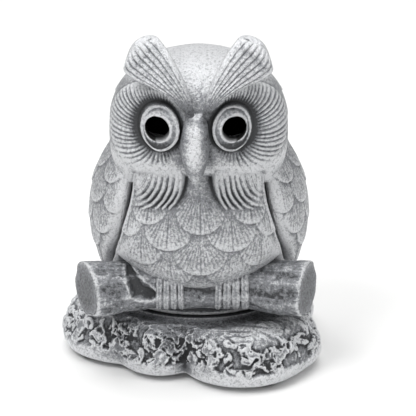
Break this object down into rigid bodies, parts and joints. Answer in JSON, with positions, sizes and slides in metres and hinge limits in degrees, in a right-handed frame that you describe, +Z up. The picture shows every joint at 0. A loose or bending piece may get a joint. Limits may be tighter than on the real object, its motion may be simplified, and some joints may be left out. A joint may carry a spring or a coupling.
{
  "type": "owl incense burner figurine",
  "caption": "Cast-iron owl perched on a log, a hollow lift-off cover whose eye holes let incense smoke out, over a lobed rock base with an ash dish.",
  "frame": {"origin": "on the table, under the middle of the rock base's bounding box", "axes": "+Z up, the owl faces -Y, +X is to the right as the owl is looked at from the front"},
  "size_m": [0.081, 0.076, 0.1049],
  "materials": {
    "cover_iron": "sand-cast surface, silver highlights rubbed over dark grey recesses",
    "rock_iron": "chiselled sand-cast surface, silver highlights over dark grey pits",
    "dish_brass": "pressed and lacquered, dulled by heat",
    "glass_fibre": "off-white needled glass-fibre felt",
    "stand_brass": "turned, satin",
    "pad_felt": "black wool felt, self-adhesive"
  },
  "bodies": {
    "base": {"rock_base": "rock_iron", "foot_pad_1": "pad_felt", "foot_pad_2": "pad_felt", "foot_pad_3": "pad_felt", "foot_pad_4": "pad_felt"},
    "cover": {"owl_cover": "cover_iron"},
    "dish": {"ash_dish": "dish_brass"},
    "mat": {"fibre_mat": "glass_fibre"},
    "stand": {"stick_stand": "stand_brass"}
  },
  "joints": [
    {"name": "cover_lift", "type": "slide", "parent": "base", "child": "cover", "axis": [0, 0, 1], "range_m": [0, 0.06]},
    {"name": "dish_lift", "type": "slide", "parent": "base", "child": "dish", "axis": [0, 0, 1], "range_m": [0, 0.02]},
    {"name": "mat_lift", "type": "slide", "parent": "dish", "child": "mat", "axis": [0, 0, 1], "range_m": [0, 0.012]},
    {"name": "stand_lift", "type": "slide", "parent": "mat", "child": "stand", "axis": [0, 0, 1], "range_m": [0, 0.012]}
  ]
}
